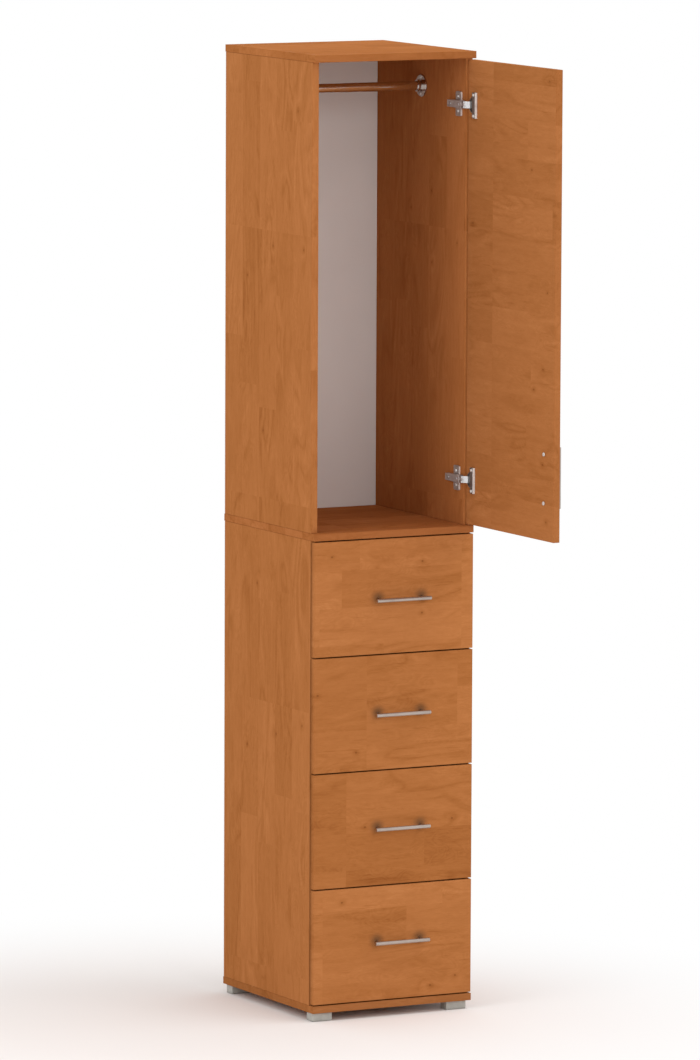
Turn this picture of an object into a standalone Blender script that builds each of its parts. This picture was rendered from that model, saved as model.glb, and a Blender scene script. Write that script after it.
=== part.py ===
# Narrow wardrobe column: a hanging space behind one hinged door above four full-width drawers.
# The door stands open a quarter turn, and the drawers are closed.
# Metres, Z up, X to the right, -Y to the front. The origin is on the floor, under the carcass's middle.

import math

import bpy
from mathutils import Matrix, Vector

# Carcass
cabinet_width = 0.400
cabinet_depth = 0.440
foot_height = 0.020
board = 0.016
upper_bay_height = 1.041
lower_bay_height = 1.041
back_thickness = 0.003
back_side_inset = 0.001
seat_gap = 0.0003
edge_radius = 0.0005

# Fronts
front_thickness = 0.016
front_edge_radius = 0.0008
front_gap = 0.003
front_side_reveal = 0.001
bumper_gap = 0.0015
drawer_count = 4

# Drawer boxes and their runners
box_board = 0.012
box_height = 0.170
box_length = 0.380
box_lift = 0.030
box_side_clearance = 0.002
bottom_thickness = 0.003
bottom_rise = 0.008
bottom_groove_depth = 0.006
bottom_groove_play = 0.0003
runner_rise = 0.075
runner_groove_height = 0.017
runner_groove_depth = 0.007
runner_play = 0.0003
runner_end_clearance = 0.0005
runner_length = 0.370
runner_setback = 0.003

# Bar handles
handle_length = 0.136
handle_bar_diameter = 0.009
handle_post_diameter = 0.0085
handle_post_spacing = 0.108
handle_projection = 0.021
handle_screw_diameter = 0.004
handle_screw_head_diameter = 0.0085
handle_screw_head_height = 0.0025
handle_screw_depth_in_post = 0.008
handle_screw_clearance = 0.0005
handle_edge_radius = 0.001
screw_edge_radius = 0.0008
drawer_handle_shift = 0.014
top_handle_drop = 0.0065
handle_drop_step = 0.003
door_handle_from_edge = 0.0425
door_handle_rise = 0.137

# Hanging rod
rod_diameter = 0.021
rod_wall = 0.001
rod_drop = 0.0735
rod_setback = 0.2245
socket_flange_diameter = 0.050
socket_flange_thickness = 0.003
socket_cup_diameter = 0.027
socket_cup_length = 0.011
rod_play = 0.0003
socket_chamfer = 0.001

# Feet
foot_width = 0.050
foot_depth = 0.028
foot_left_inset = 0.0035
foot_right_inset = 0.008
foot_front_inset = 0.009
foot_back_inset = 0.010
foot_edge_radius = 0.002

# Concealed hinges
hinge_inset = 0.100
hinge_bore_diameter = 0.035
hinge_bore_depth = 0.012
hinge_bore_rim = 0.004
hinge_bore_play = 0.0003
cup_wall = 0.001
flange_length = 0.058
flange_width = 0.0145
flange_thickness = 0.006
rim_diameter = 0.0366
rim_thickness = 0.0008
flange_shift = 0.01225
flange_edge_radius = 0.0008
flange_screw_spacing = 0.0465
flange_notch_depth = 0.0017
flange_notch_length = 0.021
hinge_screw_hole = 0.0036
cup_pin_inset = 0.0042
cup_pin_depth = 0.0025
pin_diameter = 0.002
pin_clearance = 0.0002
plate_length = 0.055
plate_width = 0.0245
plate_thickness = 0.0018
plate_lobe_thickness = 0.0035
plate_setback = 0.02925
plate_corner_radius = 0.003
plate_screw_spacing = 0.032
arm_height = 0.018
arm_projection = 0.0125
arm_wall = 0.0012
arm_edge_radius = 0.0008
arm_length = 0.064
arm_end_height = 0.0156
arm_front_setback = 0.002
arm_tongue_height = 0.006
arm_knuckle_diameter = 0.0050
link_reach_inward = 0.0156
link_reach_forward = 0.0036
link_height = 0.015
link_eye_height = 0.0124
link_thickness = 0.0022
link_eye_diameter = 0.0032
link_knee_reach = 0.0055
link_knee_angle = math.radians(57.0)
link_rest_turn = math.radians(-45.0)
door_rest_turn = math.radians(90.0)

# Levels and planes that follow from the sizes above
front_y = -cabinet_depth / 2
back_y = cabinet_depth / 2
side_x = cabinet_width / 2
inner_x = side_x - board
side_front_y = front_y + front_thickness + bumper_gap
side_back_y = back_y - back_thickness - seat_gap
bottom_panel_z = foot_height
lower_bay_z = bottom_panel_z + board
middle_panel_z = lower_bay_z + lower_bay_height
upper_bay_z = middle_panel_z + board
top_panel_z = upper_bay_z + upper_bay_height
front_half_width = side_x - front_side_reveal
drawer_front_height = (lower_bay_height - (drawer_count + 1) * front_gap) / drawer_count
door_low_z = upper_bay_z + front_gap
door_high_z = top_panel_z - front_gap

part_collection = bpy.data.collections.new("wardrobe_column")
cutter_collection = bpy.data.collections.new("cutters")


def clear_scene():
    for old in list(bpy.data.objects):
        bpy.data.objects.remove(old, do_unlink=True)
    bpy.context.scene.collection.children.link(part_collection)
    bpy.context.scene.collection.children.link(cutter_collection)


def make_material(name, colour, roughness, metallic=0.0):
    material = bpy.data.materials.new(name)
    material.use_nodes = True
    shader = material.node_tree.nodes["Principled BSDF"]
    shader.inputs["Base Color"].default_value = (*colour, 1.0)
    shader.inputs["Roughness"].default_value = roughness
    shader.inputs["Metallic"].default_value = metallic
    return material


def move_to(obj, collection):
    for holder in list(obj.users_collection):
        holder.objects.unlink(obj)
    collection.objects.link(obj)


def finish(obj, name, look):
    """Names the piece, gives it its own copy of the look and files it with the part."""
    obj.name = name
    obj.data.name = name
    colour, roughness, metallic = look
    obj.data.materials.clear()
    obj.data.materials.append(make_material(name, colour, roughness, metallic))
    move_to(obj, part_collection)
    return obj


def hide_cutter(obj, name):
    obj.name = name
    obj.display_type = "WIRE"
    obj.hide_render = True
    move_to(obj, cutter_collection)
    return obj


def box(low, high):
    low, high = Vector(low), Vector(high)
    bpy.ops.mesh.primitive_cube_add(size=1.0, location=(low + high) / 2)
    obj = bpy.context.object
    obj.scale = high - low
    bpy.ops.object.transform_apply(location=False, rotation=False, scale=True)
    return obj


def rod_shape(start, end, diameter, sides=24):
    """A solid cylinder from start to end."""
    start, end = Vector(start), Vector(end)
    along = end - start
    bpy.ops.mesh.primitive_cylinder_add(
        vertices=sides, radius=diameter / 2, depth=along.length, location=(start + end) / 2
    )
    obj = bpy.context.object
    obj.rotation_euler = along.to_track_quat("Z", "Y").to_euler()
    return obj


def round_edges(obj, radius, segments=2):
    bevel = obj.modifiers.new("rounded_edges", "BEVEL")
    bevel.width = radius
    bevel.segments = segments
    bevel.limit_method = "ANGLE"
    bevel.angle_limit = math.radians(40)
    return obj


def round_corners(obj, axis, radius, segments=4):
    """Rounds only the edges that run along one axis: 0, 1 or 2 for X, Y or Z."""
    weights = obj.data.attributes.new("bevel_weight_edge", "FLOAT", "EDGE")
    for edge, weight in zip(obj.data.edges, weights.data):
        start, end = (obj.data.vertices[index].co for index in edge.vertices)
        weight.value = float(abs((end - start).normalized()[axis]) > 0.99)
    bevel = obj.modifiers.new("rounded_corners", "BEVEL")
    bevel.width = radius
    bevel.segments = segments
    bevel.limit_method = "WEIGHT"
    return obj


def board_shape(low, high, radius=None):
    return round_edges(box(low, high), edge_radius if radius is None else radius)


def cut(obj, cutter, name):
    hide_cutter(cutter, name)
    difference = obj.modifiers.new(name, "BOOLEAN")
    difference.operation = "DIFFERENCE"
    difference.object = cutter
    difference.solver = "EXACT"
    return obj


def join(obj, other, name):
    hide_cutter(other, name)
    union = obj.modifiers.new(name, "BOOLEAN")
    union.operation = "UNION"
    union.object = other
    union.solver = "EXACT"
    return obj


def shade_round(obj):
    obj.data.shade_smooth()
    obj.data.set_sharp_from_angle(angle=math.radians(35))
    return obj


def turned(profile, sides=40):
    """A body turned about its own Z axis from (radius, height) points, outer side first from the top down."""
    mesh = bpy.data.meshes.new("profile")
    count = len(profile)
    points = [(radius, 0.0, height) for radius, height in profile]
    mesh.from_pydata(points, [(i, (i + 1) % count) for i in range(count)], [])
    obj = bpy.data.objects.new("turned", mesh)
    part_collection.objects.link(obj)
    screw = obj.modifiers.new("turn", "SCREW")
    screw.steps = sides
    screw.render_steps = sides
    screw.use_merge_vertices = True
    screw.merge_threshold = 0.00001
    screw.use_smooth_shade = True
    return obj


def hold(obj, parent, offset):
    """Parents the piece, whose place was given before the parent turned, so that it turns with the parent."""
    obj.parent = parent
    obj.location = obj.location - offset
    return obj


def axis_empty(name, location, turn):
    empty = bpy.data.objects.new(name, None)
    empty.empty_display_size = 0.02
    empty.location = location
    empty.rotation_euler = (0.0, 0.0, turn)
    part_collection.objects.link(empty)
    return empty


melamine = ((0.40, 0.15, 0.045), 0.45, 0.0)
front_melamine = ((0.43, 0.165, 0.05), 0.42, 0.0)
box_melamine = ((0.46, 0.19, 0.07), 0.5, 0.0)
white_sheet = ((0.80, 0.79, 0.77), 0.6, 0.0)
bright_steel = ((0.72, 0.72, 0.72), 0.28, 1.0)
satin_nickel = ((0.60, 0.58, 0.55), 0.35, 1.0)
chrome = ((0.80, 0.80, 0.80), 0.12, 1.0)
grey_plastic = ((0.55, 0.55, 0.55), 0.45, 0.0)
white_plastic = ((0.75, 0.74, 0.72), 0.5, 0.0)


def horizontal_panels():
    levels = {
        "bottom_panel": bottom_panel_z,
        "middle_panel": middle_panel_z,
        "top_panel": top_panel_z,
    }
    for name, z in levels.items():
        panel = board_shape((-side_x, front_y, z), (side_x, back_y, z + board))
        finish(panel, name, melamine)


def side_panels():
    bays = {"upper": (upper_bay_z, top_panel_z), "lower": (lower_bay_z, middle_panel_z)}
    for bay, (low_z, high_z) in bays.items():
        for hand, outer_x in (("left", -side_x), ("right", side_x)):
            near_x = outer_x - math.copysign(board, outer_x)
            panel = board_shape(
                (min(outer_x, near_x), side_front_y, low_z + seat_gap),
                (max(outer_x, near_x), side_back_y, high_z - seat_gap),
            )
            finish(panel, f"{bay}_side_{hand}", melamine)


def back_sheets():
    bays = {"upper": (upper_bay_z, top_panel_z), "lower": (lower_bay_z, middle_panel_z)}
    half_width = side_x - back_side_inset
    for bay, (low_z, high_z) in bays.items():
        sheet = box(
            (-half_width, back_y - back_thickness, low_z + seat_gap),
            (half_width, back_y, high_z - seat_gap),
        )
        finish(sheet, f"{bay}_back", white_sheet)


def feet():
    for row, y_low in (
        ("front", front_y + foot_front_inset),
        ("back", back_y - foot_back_inset - foot_depth),
    ):
        for hand, x_low in (
            ("left", -side_x + foot_left_inset),
            ("right", side_x - foot_right_inset - foot_width),
        ):
            foot = board_shape(
                (x_low, y_low, 0.0),
                (x_low + foot_width, y_low + foot_depth, foot_height - seat_gap),
                foot_edge_radius,
            )
            finish(foot, f"foot_{row}_{hand}", grey_plastic)


def hanging_rod():
    rod_y = front_y + rod_setback
    rod_z = top_panel_z - rod_drop
    bore_radius = rod_diameter / 2 + rod_play
    socket_floor = socket_flange_thickness
    rod_end = inner_x - seat_gap - socket_floor - seat_gap
    tube = rod_shape((-rod_end, rod_y, rod_z), (rod_end, rod_y, rod_z), rod_diameter, 40)
    reach = (rod_end + board, 0.0, 0.0)
    centre = Vector((0.0, rod_y, rod_z))
    bore = rod_shape(
        centre - Vector(reach), centre + Vector(reach), rod_diameter - 2 * rod_wall, 40
    )
    cut(shade_round(tube), bore, "rod_bore")
    finish(tube, "hanging_rod", chrome)
    profile = [
        (socket_cup_diameter / 2, socket_floor + socket_cup_length),
        (socket_cup_diameter / 2, socket_floor),
        (socket_flange_diameter / 2 - socket_chamfer, socket_floor),
        (socket_flange_diameter / 2, socket_floor - socket_chamfer),
        (socket_flange_diameter / 2, 0.0),
        (0.0, 0.0),
        (0.0, socket_floor),
        (bore_radius, socket_floor),
        (bore_radius, socket_floor + socket_cup_length),
    ]
    for hand, side in (("left", -1), ("right", 1)):
        socket = turned(profile)
        socket.location = (side * (inner_x - seat_gap), rod_y, rod_z)
        socket.rotation_euler = (0.0, -side * math.pi / 2, 0.0)
        finish(socket, f"rod_socket_{hand}", chrome)


def bar_handle(centre, along, outward):
    """A straight round bar on two posts. The centre is on the front's face, just off which the posts end."""
    centre, along, outward = Vector(centre), Vector(along), Vector(outward)
    axis = centre + outward * handle_projection
    half_bar = along * handle_length / 2
    bar = rod_shape(axis - half_bar, axis + half_bar, handle_bar_diameter, 20)
    round_edges(bar, handle_edge_radius)
    for index, side in enumerate((-1, 1)):
        foot = centre + along * side * handle_post_spacing / 2 + outward * seat_gap
        post = rod_shape(foot, foot + outward * (handle_projection - seat_gap), handle_post_diameter, 18)
        join(bar, post, f"handle_post_{index}")
        hole_top = foot + outward * (handle_screw_depth_in_post + handle_screw_clearance)
        hole = rod_shape(
            foot - outward * handle_screw_depth_in_post,
            hole_top,
            handle_screw_diameter + 2 * handle_screw_clearance,
            12,
        )
        cut(bar, hole, f"handle_hole_{index}")
    return shade_round(bar)


def screw_hole(front, centre, outward, name):
    """The clearance hole through a front for one handle screw."""
    centre, outward = Vector(centre), Vector(outward)
    hole = rod_shape(
        centre + outward * front_thickness,
        centre - outward * 2 * front_thickness,
        handle_screw_diameter + 2 * handle_screw_clearance,
        16,
    )
    cut(front, hole, name)
    return hole


def drawer(index):
    """One drawer box behind its front, and the two runners that carry it. Drawer 1 is the top one."""
    name = f"drawer_{index}"
    front_high = middle_panel_z - front_gap - (index - 1) * (drawer_front_height + front_gap)
    front_low = front_high - drawer_front_height
    front = board_shape(
        (-front_half_width, front_y, front_low),
        (front_half_width, front_y + front_thickness, front_high),
        front_edge_radius,
    )
    handle_drop = top_handle_drop - (index - 1) * handle_drop_step
    handle_centre = Vector(
        (drawer_handle_shift, front_y, (front_low + front_high) / 2 - handle_drop)
    )
    outward = Vector((0.0, -1.0, 0.0))
    along = Vector((1.0, 0.0, 0.0))
    for number, side in enumerate((-1, 1), start=1):
        screw_hole(
            front,
            handle_centre + along * side * handle_post_spacing / 2,
            outward,
            f"{name}_screw_hole_{number}",
        )
    finish(front, f"{name}_front", front_melamine)
    finish(bar_handle(handle_centre, along, outward), f"{name}_handle", satin_nickel)

    box_low = front_low + box_lift
    box_front_y = front_y + front_thickness + seat_gap
    box_back_y = box_front_y + box_length
    outer_x = inner_x - box_side_clearance
    sheet_low = box_low + bottom_rise
    runner_z = box_low + runner_rise
    strip_half = runner_groove_height / 2 - runner_play
    for hand, side in (("left", -1), ("right", 1)):
        faces = sorted((side * outer_x, side * (outer_x - box_board)))
        wall = board_shape(
            (faces[0], box_front_y, box_low), (faces[1], box_back_y, box_low + box_height)
        )
        groove_faces = sorted(
            (side * (outer_x - runner_groove_depth), side * (outer_x + runner_groove_depth))
        )
        groove = box(
            (groove_faces[0], box_front_y - board, runner_z - runner_groove_height / 2),
            (groove_faces[1], box_back_y + board, runner_z + runner_groove_height / 2),
        )
        cut(wall, groove, f"{name}_runner_groove_{hand}")
        wall_inner = outer_x - box_board
        slot_faces = sorted(
            (side * (wall_inner + bottom_groove_depth), side * (wall_inner - box_board))
        )
        slot = box(
            (slot_faces[0], box_front_y - board, sheet_low - bottom_groove_play),
            (slot_faces[1], box_back_y + board, sheet_low + bottom_thickness + bottom_groove_play),
        )
        cut(wall, slot, f"{name}_bottom_groove_{hand}")
        finish(wall, f"{name}_side_{hand}", box_melamine)
        strip_faces = sorted(
            (
                side * (inner_x - seat_gap),
                side * (outer_x - runner_groove_depth + runner_end_clearance),
            )
        )
        strip_front = side_front_y + runner_setback
        strip = board_shape(
            (strip_faces[0], strip_front, runner_z - strip_half),
            (strip_faces[1], strip_front + runner_length, runner_z + strip_half),
        )
        finish(strip, f"runner_{index}_{hand}", white_plastic)

    inner_half = outer_x - box_board - seat_gap
    back = board_shape(
        (-inner_half, box_back_y - box_board, sheet_low + bottom_thickness + seat_gap),
        (inner_half, box_back_y, box_low + box_height),
    )
    finish(back, f"{name}_back", box_melamine)
    sheet_half = outer_x - box_board + bottom_groove_depth - seat_gap
    sheet = box(
        (-sheet_half, box_front_y, sheet_low),
        (sheet_half, box_back_y, sheet_low + bottom_thickness),
    )
    finish(sheet, f"{name}_bottom", white_sheet)


# The hinge pins, seen from above with the door shut. Each hinge sits at its own height.
door_edge_x = front_half_width
door_inner_y = front_y + front_thickness
cup_centre_x = door_edge_x - hinge_bore_rim - hinge_bore_diameter / 2
dish_diameter = hinge_bore_diameter - 2 * hinge_bore_play
cup_pin = Vector((cup_centre_x + dish_diameter / 2 - cup_pin_inset, door_inner_y - cup_pin_depth, 0.0))
arm_pin = cup_pin - Vector((link_reach_inward, link_reach_forward, 0.0))
open_cup_pin = arm_pin + Matrix.Rotation(link_rest_turn, 3, "Z") @ (cup_pin - arm_pin)
hinge_levels = {"upper": door_high_z - hinge_inset, "lower": door_low_z + hinge_inset}


def door():
    axis = axis_empty("door_axis", open_cup_pin, door_rest_turn)
    panel = board_shape(
        (-front_half_width, front_y, door_low_z),
        (front_half_width, door_inner_y, door_high_z),
        front_edge_radius,
    )
    hold(panel, axis, cup_pin)
    for level, z in hinge_levels.items():
        bore = rod_shape(
            (cup_centre_x, door_inner_y - hinge_bore_depth, z),
            (cup_centre_x, door_inner_y + board, z),
            hinge_bore_diameter,
            40,
        )
        hold(bore, axis, cup_pin)
        cut(panel, bore, f"door_bore_{level}")
    handle_x = -front_half_width + door_handle_from_edge
    handle_centre = Vector((handle_x, front_y, door_low_z + door_handle_rise))
    outward = Vector((0.0, -1.0, 0.0))
    along = Vector((0.0, 0.0, 1.0))
    for level, side in (("lower", -1), ("upper", 1)):
        centre = handle_centre + along * side * handle_post_spacing / 2
        hold(screw_hole(panel, centre, outward, f"door_screw_hole_{level}"), axis, cup_pin)
        seat = centre - outward * (front_thickness + seat_gap)
        screw = rod_shape(
            seat - outward * handle_screw_head_height, seat, handle_screw_head_diameter, 24
        )
        round_edges(screw, screw_edge_radius)
        shank = rod_shape(
            seat - outward * handle_screw_head_height / 2,
            centre + outward * (seat_gap + handle_screw_depth_in_post),
            handle_screw_diameter,
            16,
        )
        join(screw, shank, f"door_screw_shank_{level}")
        hold(shank, axis, cup_pin)
        hold(shade_round(screw), axis, cup_pin)
        finish(screw, f"door_handle_screw_{level}", bright_steel)
    handle = bar_handle(handle_centre, along, outward)
    for modifier in handle.modifiers:
        if modifier.type == "BOOLEAN":
            hold(modifier.object, axis, cup_pin)
    hold(handle, axis, cup_pin)
    finish(handle, "door_handle", satin_nickel)
    finish(panel, "door_panel", front_melamine)
    return axis


def hinge_cup(level, z, axis):
    """A dish in the door's bore, the raised block it is screwed down by and the pin for the link."""
    flange_low = door_inner_y + seat_gap
    flange_high = flange_low + flange_thickness
    rim_high = flange_low + rim_thickness
    dish_floor = door_inner_y - hinge_bore_depth + seat_gap
    cup = rod_shape((cup_centre_x, flange_low, z), (cup_centre_x, rim_high, z), rim_diameter, 48)
    dish_top = (flange_low + rim_high) / 2
    dish = rod_shape((cup_centre_x, dish_floor, z), (cup_centre_x, dish_top, z), dish_diameter, 48)
    hollow = rod_shape(
        (cup_centre_x, dish_floor + cup_wall, z),
        (cup_centre_x, rim_high + board, z),
        dish_diameter - 2 * cup_wall,
        48,
    )
    wing_x = cup_centre_x - flange_shift
    block_edge_x = wing_x + flange_width / 2
    block = box(
        (wing_x - flange_width / 2, flange_low, z - flange_length / 2),
        (block_edge_x, flange_high, z + flange_length / 2),
    )
    round_edges(block, flange_edge_radius)
    notch = box(
        (block_edge_x - flange_notch_depth, flange_low - board, z - flange_notch_length / 2),
        (block_edge_x + board, flange_high + board, z + flange_notch_length / 2),
    )
    cut(block, notch, f"block_notch_{level}")
    pin_flank = cup_pin.x - cup_centre_x + pin_diameter / 2
    pin_half = math.sqrt((dish_diameter / 2) ** 2 - pin_flank**2) - cup_wall / 4
    pin = rod_shape(
        (cup_pin.x, cup_pin.y, z - pin_half), (cup_pin.x, cup_pin.y, z + pin_half), pin_diameter, 16
    )
    join(cup, dish, f"cup_dish_{level}")
    cut(cup, hollow, f"cup_hollow_{level}")
    join(cup, block, f"cup_block_{level}")
    join(cup, pin, f"cup_pin_{level}")
    pieces = [cup, dish, hollow, block, notch, pin]
    for number, side in enumerate((-1, 1)):
        screw_z = z + side * flange_screw_spacing / 2
        hole = rod_shape(
            (wing_x, door_inner_y, screw_z), (wing_x, door_inner_y + board, screw_z), hinge_screw_hole, 16
        )
        cut(cup, hole, f"wing_hole_{number}_{level}")
        pieces.append(hole)
    for piece in pieces:
        hold(piece, axis, cup_pin)
    finish(shade_round(cup), f"hinge_cup_{level}", bright_steel)


def hinge_link(level, z):
    """The bent link from the arm's pin to the cup's pin, drawn for the shut door."""
    axis = axis_empty(f"link_axis_{level}", arm_pin + Vector((0.0, 0.0, z)), link_rest_turn)
    to_arm = (arm_pin - cup_pin).normalized()
    knee = cup_pin + Matrix.Rotation(link_knee_angle, 3, "Z") @ to_arm * link_knee_reach
    half = Vector((0.0, 0.0, link_height / 2))
    level_up = Vector((0.0, 0.0, z))
    eye_half = Vector((0.0, 0.0, link_eye_height / 2))
    eye = rod_shape(
        cup_pin + level_up - eye_half, cup_pin + level_up + eye_half, link_eye_diameter, 20
    )
    pieces = [eye]
    for number, (start, end) in enumerate(((cup_pin, knee), (knee, arm_pin))):
        along = end - start
        middle = (start + end) / 2
        web = box(
            (-along.length / 2, -link_thickness / 2, -link_height / 2),
            (along.length / 2, link_thickness / 2, link_height / 2),
        )
        web.location = middle + level_up
        web.rotation_euler = (0.0, 0.0, math.atan2(along.y, along.x))
        join(eye, web, f"link_web_{number}_{level}")
        pieces.append(web)
    bend = rod_shape(knee + level_up - half, knee + level_up + half, link_thickness, 16)
    ear = rod_shape(arm_pin + level_up - half, arm_pin + level_up + half, arm_knuckle_diameter, 20)
    join(eye, bend, f"link_bend_{level}")
    join(eye, ear, f"link_ear_{level}")
    slot_half = Vector((0.0, 0.0, arm_tongue_height / 2 + seat_gap))
    slot = rod_shape(
        arm_pin + level_up - slot_half,
        arm_pin + level_up + slot_half,
        arm_knuckle_diameter + 4 * seat_gap,
        24,
    )
    cut(eye, slot, f"link_slot_{level}")
    pieces += [bend, ear, slot]
    for number, pin in enumerate((cup_pin, arm_pin)):
        hole = rod_shape(
            pin + level_up - 2 * half, pin + level_up + 2 * half, pin_diameter + 2 * pin_clearance, 16
        )
        cut(eye, hole, f"link_hole_{number}_{level}")
        pieces.append(hole)
    for piece in pieces:
        hold(piece, axis, arm_pin + level_up)
    finish(shade_round(eye), f"hinge_link_{level}", bright_steel)


def narrow_back(obj, end_height):
    """Draws in the back end of an arm's box, so that the arm narrows from its nose to its lever."""
    for vertex in obj.data.vertices:
        if vertex.co.y > 0:
            vertex.co.z = math.copysign(end_height / 2, vertex.co.z)
    return obj


def hinge_arm(level, z):
    """The plate screwed to the side, and the channel-shaped arm that lies between its raised ends."""
    plate_y = side_front_y + plate_setback
    plate_far = inner_x - seat_gap
    plate_near = plate_far - plate_thickness
    lobe_near = plate_far - plate_lobe_thickness
    plate = box(
        (lobe_near, plate_y - plate_width / 2, z - plate_length / 2),
        (plate_far, plate_y + plate_width / 2, z + plate_length / 2),
    )
    round_corners(plate, 0, plate_corner_radius)
    lane_half = arm_height / 2 + seat_gap
    lane = box(
        (lobe_near - board, plate_y - plate_width, z - lane_half),
        (plate_near, plate_y + plate_width, z + lane_half),
    )
    cut(plate, lane, f"arm_lane_{level}")
    for number, side in enumerate((-1, 1)):
        screw_z = z + side * plate_screw_spacing / 2
        hole = rod_shape(
            (plate_near - board, plate_y, screw_z),
            (plate_far + board, plate_y, screw_z),
            hinge_screw_hole,
            16,
        )
        cut(plate, hole, f"plate_hole_{number}_{level}")
    finish(plate, f"hinge_plate_{level}", bright_steel)

    arm_far = plate_near - seat_gap
    arm_near = inner_x - arm_projection
    arm_front = side_front_y + arm_front_setback
    arm = box(
        (arm_near, arm_front, z - arm_height / 2), (arm_far, arm_front + arm_length, z + arm_height / 2)
    )
    narrow_back(arm, arm_end_height)
    round_edges(arm, arm_edge_radius)
    channel = box(
        (arm_near + arm_wall, arm_front + arm_wall, z - arm_height / 2 + arm_wall),
        (arm_far + board, arm_front + arm_length + board, z + arm_height / 2 - arm_wall),
    )
    narrow_back(channel, arm_end_height - 2 * arm_wall)
    cut(arm, channel, f"arm_channel_{level}")
    level_up = Vector((0.0, 0.0, z))
    half_tongue = Vector((0.0, 0.0, arm_tongue_height / 2))
    knuckle = rod_shape(
        arm_pin + level_up - half_tongue, arm_pin + level_up + half_tongue, arm_knuckle_diameter, 20
    )
    join(arm, knuckle, f"arm_knuckle_{level}")
    tongue = box(
        (arm_pin.x - arm_knuckle_diameter / 2, arm_pin.y, z - arm_tongue_height / 2),
        (arm_pin.x + arm_knuckle_diameter / 2, arm_front + arm_wall / 2, z + arm_tongue_height / 2),
    )
    join(arm, tongue, f"arm_tongue_{level}")
    half_pin = Vector((0.0, 0.0, link_height / 2))
    pin = rod_shape(arm_pin + level_up - half_pin, arm_pin + level_up + half_pin, pin_diameter, 16)
    join(arm, pin, f"arm_pin_{level}")
    finish(shade_round(arm), f"hinge_arm_{level}", bright_steel)


clear_scene()
horizontal_panels()
side_panels()
back_sheets()
feet()
hanging_rod()
for drawer_index in range(1, drawer_count + 1):
    drawer(drawer_index)
door_axis = door()
for hinge_level, hinge_z in hinge_levels.items():
    hinge_arm(hinge_level, hinge_z)
    hinge_link(hinge_level, hinge_z)
    hinge_cup(hinge_level, hinge_z, door_axis)
bpy.context.view_layer.update()
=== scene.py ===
import math

import bpy
from mathutils import Matrix, Vector


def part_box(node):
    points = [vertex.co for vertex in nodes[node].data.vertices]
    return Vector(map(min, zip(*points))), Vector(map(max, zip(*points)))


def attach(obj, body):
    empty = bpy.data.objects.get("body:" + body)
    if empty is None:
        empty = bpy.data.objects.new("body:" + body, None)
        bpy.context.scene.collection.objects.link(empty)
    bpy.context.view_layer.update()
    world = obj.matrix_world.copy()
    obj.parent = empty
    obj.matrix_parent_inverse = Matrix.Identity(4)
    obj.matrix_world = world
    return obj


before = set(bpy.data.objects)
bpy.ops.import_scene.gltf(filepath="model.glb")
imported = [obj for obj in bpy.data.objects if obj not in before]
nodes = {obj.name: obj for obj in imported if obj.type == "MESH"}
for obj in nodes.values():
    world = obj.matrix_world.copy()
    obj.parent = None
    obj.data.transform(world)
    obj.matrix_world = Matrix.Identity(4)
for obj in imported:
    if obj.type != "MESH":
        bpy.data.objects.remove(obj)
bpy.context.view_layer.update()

# Dresses the tall wardrobe column: alder boards, white backs, chrome rod, nickel hinges and handles.
# Metres, Z up, -Y to the front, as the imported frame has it.

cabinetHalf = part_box("top_panel")[1].x
drawerNumbers = range(1, 5)
print("frame loaded,", len(nodes), "nodes")


def clearSelection():
    for thing in bpy.context.selected_objects:
        thing.select_set(False)


# small node helpers

def newMaterial(name):
    material = bpy.data.materials.new(name)
    material.use_nodes = True
    tree = material.node_tree
    return material, tree, tree.nodes["Principled BSDF"]


def addNode(tree, kind, inputs=None, **settings):
    made = tree.nodes.new(kind)
    for key, value in settings.items():
        setattr(made, key, value)
    for key, value in (inputs or {}).items():
        if isinstance(value, bpy.types.NodeSocket):
            tree.links.new(value, made.inputs[key])
        else:
            made.inputs[key].default_value = value
    return made


def calc(tree, operation, first, second=0.0):
    return addNode(tree, "ShaderNodeMath", {0: first, 1: second}, operation=operation).outputs[0]


def plus(tree, first, second):
    return calc(tree, "ADD", first, second)


def minus(tree, first, second):
    return calc(tree, "SUBTRACT", first, second)


def times(tree, first, second):
    return calc(tree, "MULTIPLY", first, second)


def vectorCalc(tree, operation, *vectors):
    return addNode(tree, "ShaderNodeVectorMath", dict(enumerate(vectors)), operation=operation).outputs


def stretch(tree, vector, factors):
    return vectorCalc(tree, "MULTIPLY", vector, factors)[0]


def shift(tree, vector, amount):
    return vectorCalc(tree, "ADD", vector, amount)[0]


def takeApart(tree, vector):
    return addNode(tree, "ShaderNodeSeparateXYZ", {0: vector}).outputs


def putTogether(tree, *parts):
    return addNode(tree, "ShaderNodeCombineXYZ", dict(enumerate(parts))).outputs[0]


def noise(tree, vector, detail, roughness, distortion=0.0):
    inputs = {"Vector": vector, "Scale": 1.0, "Detail": detail, "Roughness": roughness,
              "Distortion": distortion}
    return addNode(tree, "ShaderNodeTexNoise", inputs).outputs["Fac"]


def evenNoise(tree, place, scale, detail, roughness):
    return noise(tree, stretch(tree, place, (scale, scale, scale)), detail, roughness)


def whiteNoise(tree, vector):
    return addNode(tree, "ShaderNodeTexWhiteNoise", {"Vector": vector}, noise_dimensions="3D").outputs


def blendRange(tree, value, fromLow, fromHigh, toLow=0.0, toHigh=1.0):
    inputs = {"Value": value, "From Min": fromLow, "From Max": fromHigh, "To Min": toLow, "To Max": toHigh}
    return addNode(tree, "ShaderNodeMapRange", inputs, interpolation_type="SMOOTHSTEP").outputs["Result"]


def ramp(tree, value, stops):
    made = addNode(tree, "ShaderNodeValToRGB", {"Fac": value})
    elements = made.color_ramp.elements
    while len(elements) < len(stops):
        elements.new(0.5)
    for element, (place, colour) in zip(elements, stops):
        element.position = place
        element.color = (*colour, 1.0)
    return made.outputs["Color"]


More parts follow.
